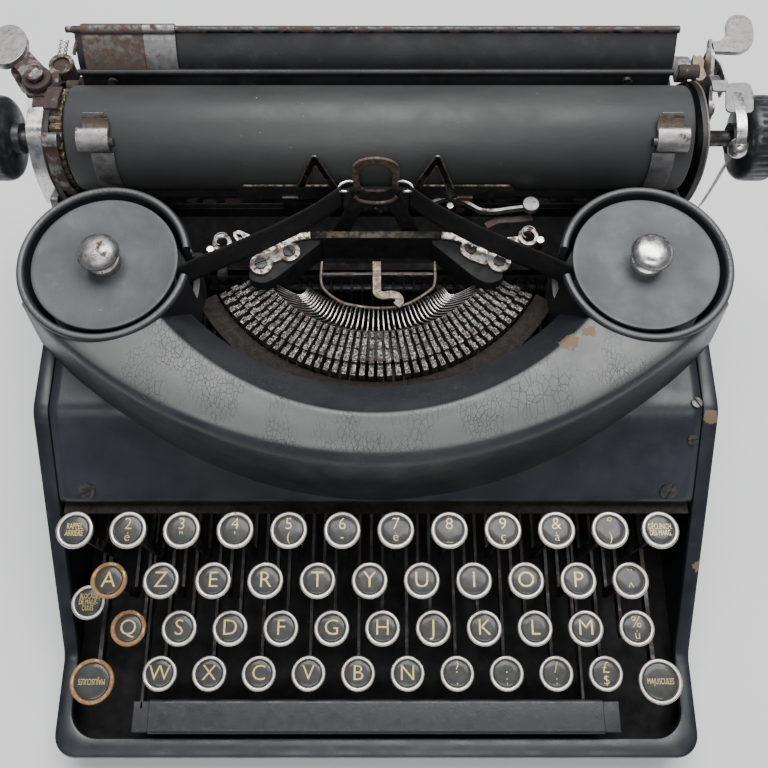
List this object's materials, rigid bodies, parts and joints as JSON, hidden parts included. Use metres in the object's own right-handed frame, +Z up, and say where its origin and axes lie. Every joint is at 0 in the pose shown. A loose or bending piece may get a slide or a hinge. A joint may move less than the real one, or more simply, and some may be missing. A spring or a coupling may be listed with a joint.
{
  "type": "portable typewriter",
  "caption": "Portable manual typewriter with a sloping keyboard of round keys, crescent ribbon cover, twin spools and a shifting platen carriage.",
  "frame": {"origin": "bottom centre of the whole machine, on the surface that its feet stand on", "axes": "+X to the typist's right along the platen, +Y to the rear, +Z up"},
  "size_m": [0.294, 0.2776, 0.1325],
  "materials": {
    "frame_enamel": "gloss black enamel over steel, rubbed at the edges",
    "cover_enamel": "semi-gloss black enamel with fine crazing",
    "type_steel": "oiled dark type metal with dried ink and light rust",
    "spool_paint": "satin dark grey lacquer, scratched, with a nickel knob",
    "rusty_iron": "rusted iron, matt",
    "carriage_steel": "blackened metal, oily",
    "carriage_enamel": "gloss black enamel with rust at the edges",
    "platen_rubber": "hard old rubber, dull, with pale scuffs",
    "knob_plastic": "ribbed black moulding, satin",
    "aged_nickel": "nickel plate, pitted and dulled",
    "key_steel": "dark steel lever; nickel ring round a black glass-topped key",
    "space_bar_paint": "gloss black bar, worn along its front edge"
  },
  "bodies": {
    "frame": {"base_frame": "frame_enamel", "ribbon_cover": "cover_enamel", "type_basket": "type_steel"},
    "carriage": {"carriage_truck": "carriage_steel"},
    "platen_carrier": {"platen_frame": "carriage_enamel"},
    "platen_roller": {"platen": "platen_rubber", "left_platen_knob": "knob_plastic", "right_platen_knob": "knob_plastic"},
    "line_space_lever": {"return_lever": "aged_nickel"},
    "paper_release": {"paper_release_lever": "aged_nickel"},
    "left_spool": {"left_ribbon_spool": "spool_paint"},
    "right_spool": {"right_ribbon_spool": "spool_paint"},
    "vibrator": {"ribbon_vibrator": "rusty_iron"},
    "space": {"space_bar": "space_bar_paint"},
    "shift": {"shift_keys": "key_steel"},
    "key_backspace": {"key_backspace": "key_steel"},
    "key_margin_release": {"key_margin_release": "key_steel"},
    "key_shift_lock": {"key_shift_lock": "key_steel"},
    "key_2": {"key_2": "key_steel"},
    "key_3": {"key_3": "key_steel"},
    "key_4": {"key_4": "key_steel"},
    "key_5": {"key_5": "key_steel"},
    "key_6": {"key_6": "key_steel"},
    "key_7": {"key_7": "key_steel"},
    "key_8": {"key_8": "key_steel"},
    "key_9": {"key_9": "key_steel"},
    "key_ampersand": {"key_ampersand": "key_steel"},
    "key_degree": {"key_degree": "key_steel"},
    "key_a": {"key_a": "key_steel"},
    "key_z": {"key_z": "key_steel"},
    "key_e": {"key_e": "key_steel"},
    "key_r": {"key_r": "key_steel"},
    "key_t": {"key_t": "key_steel"},
    "key_y": {"key_y": "key_steel"},
    "key_u": {"key_u": "key_steel"},
    "key_i": {"key_i": "key_steel"},
    "key_o": {"key_o": "key_steel"},
    "key_p": {"key_p": "key_steel"},
    "key_circumflex": {"key_circumflex": "key_steel"},
    "key_q": {"key_q": "key_steel"},
    "key_s": {"key_s": "key_steel"},
    "key_d": {"key_d": "key_steel"},
    "key_f": {"key_f": "key_steel"},
    "key_g": {"key_g": "key_steel"},
    "key_h": {"key_h": "key_steel"},
    "key_j": {"key_j": "key_steel"},
    "key_k": {"key_k": "key_steel"},
    "key_l": {"key_l": "key_steel"},
    "key_m": {"key_m": "key_steel"},
    "key_percent": {"key_percent": "key_steel"},
    "key_w": {"key_w": "key_steel"},
    "key_x": {"key_x": "key_steel"},
    "key_c": {"key_c": "key_steel"},
    "key_v": {"key_v": "key_steel"},
    "key_b": {"key_b": "key_steel"},
    "key_n": {"key_n": "key_steel"},
    "key_question": {"key_question": "key_steel"},
    "key_semicolon": {"key_semicolon": "key_steel"},
    "key_slash": {"key_slash": "key_steel"},
    "key_pound": {"key_pound": "key_steel"}
  },
  "joints": [
    {"name": "carriage_travel", "type": "slide", "parent": "frame", "child": "carriage", "axis": [1, 0, 0], "range_m": [-0.105, 0.105]},
    {"name": "platen_shift", "type": "slide", "parent": "carriage", "child": "platen_carrier", "axis": [0, 0, 1], "range_m": [0, 0.0065]},
    {"name": "line_space_swing", "type": "hinge", "parent": "platen_carrier", "child": "line_space_lever", "pos_m": [-0.126, 0.098, 0.1227], "axis": [0, 0, -1], "range_deg": [0, 35], "stiffness_Nm_per_rad": 0.05, "springref_deg": -5.73},
    {"name": "paper_release_swing", "type": "hinge", "parent": "platen_carrier", "child": "paper_release", "pos_m": [0.1252, 0.092, 0.113], "axis": [1, 0, 0], "range_deg": [0, 28]},
    {"name": "ribbon_lift", "type": "slide", "parent": "frame", "child": "vibrator", "axis": [0, 0, 1], "range_m": [0, 0.009]},
    {"name": "shift_press", "type": "hinge", "parent": "frame", "child": "shift", "pos_m": [0, 0.062, 0.024], "axis": [1, 0, 0], "range_deg": [0, 3.6], "stiffness_Nm_per_rad": 0.8, "springref_deg": -17.19},
    {"name": "space_press", "type": "hinge", "parent": "frame", "child": "space", "pos_m": [0, 0.062, 0.024], "axis": [1, 0, 0], "range_deg": [0, 2.4], "stiffness_Nm_per_rad": 0.8, "springref_deg": -17.19},
    {"name": "shift_lock_press", "type": "hinge", "parent": "frame", "child": "key_shift_lock", "pos_m": [0, 0.062, 0.024], "axis": [1, 0, 0], "range_deg": [0, 2.4], "stiffness_Nm_per_rad": 0.5, "springref_deg": -14.32},
    {"name": "margin_release_press", "type": "hinge", "parent": "frame", "child": "key_margin_release", "pos_m": [0, 0.062, 0.024], "axis": [1, 0, 0], "range_deg": [0, 3.6], "stiffness_Nm_per_rad": 0.5, "springref_deg": -14.32},
    {"name": "backspace_press", "type": "hinge", "parent": "frame", "child": "key_backspace", "pos_m": [0, 0.062, 0.024], "axis": [1, 0, 0], "range_deg": [0, 3.6], "stiffness_Nm_per_rad": 0.5, "springref_deg": -14.32},
    {"name": "left_spool_turn", "type": "hinge", "parent": "frame", "child": "left_spool", "pos_m": [-0.09375, 0.02345, 0.108], "axis": [0, 0, 1], "continuous": true},
    {"name": "right_spool_turn", "type": "hinge", "parent": "frame", "child": "right_spool", "pos_m": [0.09375, 0.02345, 0.108], "axis": [0, 0, 1], "continuous": true},
    {"name": "platen_turn", "type": "hinge", "parent": "platen_carrier", "child": "platen_roller", "pos_m": [0, 0.07875, 0.113], "axis": [1, 0, 0], "continuous": true},
    {"name": "type_key_2_press", "type": "hinge", "parent": "frame", "child": "key_2", "pos_m": [0, 0.062, 0.024], "axis": [1, 0, 0], "range_deg": [0, 3.6], "stiffness_Nm_per_rad": 0.5, "springref_deg": -14.32},
    {"name": "type_key_3_press", "type": "hinge", "parent": "frame", "child": "key_3", "pos_m": [0, 0.062, 0.024], "axis": [1, 0, 0], "range_deg": [0, 3.6], "stiffness_Nm_per_rad": 0.5, "springref_deg": -14.32},
    {"name": "type_key_4_press", "type": "hinge", "parent": "frame", "child": "key_4", "pos_m": [0, 0.062, 0.024], "axis": [1, 0, 0], "range_deg": [0, 3.6], "stiffness_Nm_per_rad": 0.5, "springref_deg": -14.32},
    {"name": "type_key_5_press", "type": "hinge", "parent": "frame", "child": "key_5", "pos_m": [0, 0.062, 0.024], "axis": [1, 0, 0], "range_deg": [0, 3.6], "stiffness_Nm_per_rad": 0.5, "springref_deg": -14.32},
    {"name": "type_key_6_press", "type": "hinge", "parent": "frame", "child": "key_6", "pos_m": [0, 0.062, 0.024], "axis": [1, 0, 0], "range_deg": [0, 3.6], "stiffness_Nm_per_rad": 0.5, "springref_deg": -14.32},
    {"name": "type_key_7_press", "type": "hinge", "parent": "frame", "child": "key_7", "pos_m": [0, 0.062, 0.024], "axis": [1, 0, 0], "range_deg": [0, 3.6], "stiffness_Nm_per_rad": 0.5, "springref_deg": -14.32},
    {"name": "type_key_8_press", "type": "hinge", "parent": "frame", "child": "key_8", "pos_m": [0, 0.062, 0.024], "axis": [1, 0, 0], "range_deg": [0, 3.6], "stiffness_Nm_per_rad": 0.5, "springref_deg": -14.32},
    {"name": "type_key_9_press", "type": "hinge", "parent": "frame", "child": "key_9", "pos_m": [0, 0.062, 0.024], "axis": [1, 0, 0], "range_deg": [0, 3.6], "stiffness_Nm_per_rad": 0.5, "springref_deg": -14.32},
    {"name": "type_key_ampersand_press", "type": "hinge", "parent": "frame", "child": "key_ampersand", "pos_m": [0, 0.062, 0.024], "axis": [1, 0, 0], "range_deg": [0, 3.6], "stiffness_Nm_per_rad": 0.5, "springref_deg": -14.32},
    {"name": "type_key_degree_press", "type": "hinge", "parent": "frame", "child": "key_degree", "pos_m": [0, 0.062, 0.024], "axis": [1, 0, 0], "range_deg": [0, 3.6], "stiffness_Nm_per_rad": 0.5, "springref_deg": -14.32},
    {"name": "type_key_a_press", "type": "hinge", "parent": "frame", "child": "key_a", "pos_m": [0, 0.062, 0.024], "axis": [1, 0, 0], "range_deg": [0, 3.6], "stiffness_Nm_per_rad": 0.5, "springref_deg": -14.32},
    {"name": "type_key_z_press", "type": "hinge", "parent": "frame", "child": "key_z", "pos_m": [0, 0.062, 0.024], "axis": [1, 0, 0], "range_deg": [0, 3.6], "stiffness_Nm_per_rad": 0.5, "springref_deg": -14.32},
    {"name": "type_key_e_press", "type": "hinge", "parent": "frame", "child": "key_e", "pos_m": [0, 0.062, 0.024], "axis": [1, 0, 0], "range_deg": [0, 3.6], "stiffness_Nm_per_rad": 0.5, "springref_deg": -14.32},
    {"name": "type_key_r_press", "type": "hinge", "parent": "frame", "child": "key_r", "pos_m": [0, 0.062, 0.024], "axis": [1, 0, 0], "range_deg": [0, 3.6], "stiffness_Nm_per_rad": 0.5, "springref_deg": -14.32},
    {"name": "type_key_t_press", "type": "hinge", "parent": "frame", "child": "key_t", "pos_m": [0, 0.062, 0.024], "axis": [1, 0, 0], "range_deg": [0, 3.6], "stiffness_Nm_per_rad": 0.5, "springref_deg": -14.32},
    {"name": "type_key_y_press", "type": "hinge", "parent": "frame", "child": "key_y", "pos_m": [0, 0.062, 0.024], "axis": [1, 0, 0], "range_deg": [0, 3.6], "stiffness_Nm_per_rad": 0.5, "springref_deg": -14.32},
    {"name": "type_key_u_press", "type": "hinge", "parent": "frame", "child": "key_u", "pos_m": [0, 0.062, 0.024], "axis": [1, 0, 0], "range_deg": [0, 3.6], "stiffness_Nm_per_rad": 0.5, "springref_deg": -14.32},
    {"name": "type_key_i_press", "type": "hinge", "parent": "frame", "child": "key_i", "pos_m": [0, 0.062, 0.024], "axis": [1, 0, 0], "range_deg": [0, 3.6], "stiffness_Nm_per_rad": 0.5, "springref_deg": -14.32},
    {"name": "type_key_o_press", "type": "hinge", "parent": "frame", "child": "key_o", "pos_m": [0, 0.062, 0.024], "axis": [1, 0, 0], "range_deg": [0, 3.6], "stiffness_Nm_per_rad": 0.5, "springref_deg": -14.32},
    {"name": "type_key_p_press", "type": "hinge", "parent": "frame", "child": "key_p", "pos_m": [0, 0.062, 0.024], "axis": [1, 0, 0], "range_deg": [0, 3.6], "stiffness_Nm_per_rad": 0.5, "springref_deg": -14.32},
    {"name": "type_key_circumflex_press", "type": "hinge", "parent": "frame", "child": "key_circumflex", "pos_m": [0, 0.062, 0.024], "axis": [1, 0, 0], "range_deg": [0, 3.6], "stiffness_Nm_per_rad": 0.5, "springref_deg": -14.32},
    {"name": "type_key_q_press", "type": "hinge", "parent": "frame", "child": "key_q", "pos_m": [0, 0.062, 0.024], "axis": [1, 0, 0], "range_deg": [0, 3.6], "stiffness_Nm_per_rad": 0.5, "springref_deg": -14.32},
    {"name": "type_key_s_press", "type": "hinge", "parent": "frame", "child": "key_s", "pos_m": [0, 0.062, 0.024], "axis": [1, 0, 0], "range_deg": [0, 3.6], "stiffness_Nm_per_rad": 0.5, "springref_deg": -14.32},
    {"name": "type_key_d_press", "type": "hinge", "parent": "frame", "child": "key_d", "pos_m": [0, 0.062, 0.024], "axis": [1, 0, 0], "range_deg": [0, 3.6], "stiffness_Nm_per_rad": 0.5, "springref_deg": -14.32},
    {"name": "type_key_f_press", "type": "hinge", "parent": "frame", "child": "key_f", "pos_m": [0, 0.062, 0.024], "axis": [1, 0, 0], "range_deg": [0, 3.6], "stiffness_Nm_per_rad": 0.5, "springref_deg": -14.32},
    {"name": "type_key_g_press", "type": "hinge", "parent": "frame", "child": "key_g", "pos_m": [0, 0.062, 0.024], "axis": [1, 0, 0], "range_deg": [0, 3.6], "stiffness_Nm_per_rad": 0.5, "springref_deg": -14.32},
    {"name": "type_key_h_press", "type": "hinge", "parent": "frame", "child": "key_h", "pos_m": [0, 0.062, 0.024], "axis": [1, 0, 0], "range_deg": [0, 3.6], "stiffness_Nm_per_rad": 0.5, "springref_deg": -14.32},
    {"name": "type_key_j_press", "type": "hinge", "parent": "frame", "child": "key_j", "pos_m": [0, 0.062, 0.024], "axis": [1, 0, 0], "range_deg": [0, 3.6], "stiffness_Nm_per_rad": 0.5, "springref_deg": -14.32},
    {"name": "type_key_k_press", "type": "hinge", "parent": "frame", "child": "key_k", "pos_m": [0, 0.062, 0.024], "axis": [1, 0, 0], "range_deg": [0, 3.6], "stiffness_Nm_per_rad": 0.5, "springref_deg": -14.32},
    {"name": "type_key_l_press", "type": "hinge", "parent": "frame", "child": "key_l", "pos_m": [0, 0.062, 0.024], "axis": [1, 0, 0], "range_deg": [0, 3.6], "stiffness_Nm_per_rad": 0.5, "springref_deg": -14.32},
    {"name": "type_key_m_press", "type": "hinge", "parent": "frame", "child": "key_m", "pos_m": [0, 0.062, 0.024], "axis": [1, 0, 0], "range_deg": [0, 3.6], "stiffness_Nm_per_rad": 0.5, "springref_deg": -14.32},
    {"name": "type_key_percent_press", "type": "hinge", "parent": "frame", "child": "key_percent", "pos_m": [0, 0.062, 0.024], "axis": [1, 0, 0], "range_deg": [0, 3.6], "stiffness_Nm_per_rad": 0.5, "springref_deg": -14.32},
    {"name": "type_key_w_press", "type": "hinge", "parent": "frame", "child": "key_w", "pos_m": [0, 0.062, 0.024], "axis": [1, 0, 0], "range_deg": [0, 3.6], "stiffness_Nm_per_rad": 0.5, "springref_deg": -14.32},
    {"name": "type_key_x_press", "type": "hinge", "parent": "frame", "child": "key_x", "pos_m": [0, 0.062, 0.024], "axis": [1, 0, 0], "range_deg": [0, 3.6], "stiffness_Nm_per_rad": 0.5, "springref_deg": -14.32},
    {"name": "type_key_c_press", "type": "hinge", "parent": "frame", "child": "key_c", "pos_m": [0, 0.062, 0.024], "axis": [1, 0, 0], "range_deg": [0, 3.6], "stiffness_Nm_per_rad": 0.5, "springref_deg": -14.32},
    {"name": "type_key_v_press", "type": "hinge", "parent": "frame", "child": "key_v", "pos_m": [0, 0.062, 0.024], "axis": [1, 0, 0], "range_deg": [0, 3.6], "stiffness_Nm_per_rad": 0.5, "springref_deg": -14.32},
    {"name": "type_key_b_press", "type": "hinge", "parent": "frame", "child": "key_b", "pos_m": [0, 0.062, 0.024], "axis": [1, 0, 0], "range_deg": [0, 3.6], "stiffness_Nm_per_rad": 0.5, "springref_deg": -14.32},
    {"name": "type_key_n_press", "type": "hinge", "parent": "frame", "child": "key_n", "pos_m": [0, 0.062, 0.024], "axis": [1, 0, 0], "range_deg": [0, 3.6], "stiffness_Nm_per_rad": 0.5, "springref_deg": -14.32},
    {"name": "type_key_question_press", "type": "hinge", "parent": "frame", "child": "key_question", "pos_m": [0, 0.062, 0.024], "axis": [1, 0, 0], "range_deg": [0, 3.6], "stiffness_Nm_per_rad": 0.5, "springref_deg": -14.32},
    {"name": "type_key_semicolon_press", "type": "hinge", "parent": "frame", "child": "key_semicolon", "pos_m": [0, 0.062, 0.024], "axis": [1, 0, 0], "range_deg": [0, 3.6], "stiffness_Nm_per_rad": 0.5, "springref_deg": -14.32},
    {"name": "type_key_slash_press", "type": "hinge", "parent": "frame", "child": "key_slash", "pos_m": [0, 0.062, 0.024], "axis": [1, 0, 0], "range_deg": [0, 3.6], "stiffness_Nm_per_rad": 0.5, "springref_deg": -14.32},
    {"name": "type_key_pound_press", "type": "hinge", "parent": "frame", "child": "key_pound", "pos_m": [0, 0.062, 0.024], "axis": [1, 0, 0], "range_deg": [0, 3.6], "stiffness_Nm_per_rad": 0.5, "springref_deg": -14.32}
  ],
  "couplings": [
    {"joint": "right_spool_turn", "follows": "left_spool_turn", "ratio": 1},
    {"joint": "shift_press", "follows": "platen_shift", "rad_per_m": 9.66}
  ]
}
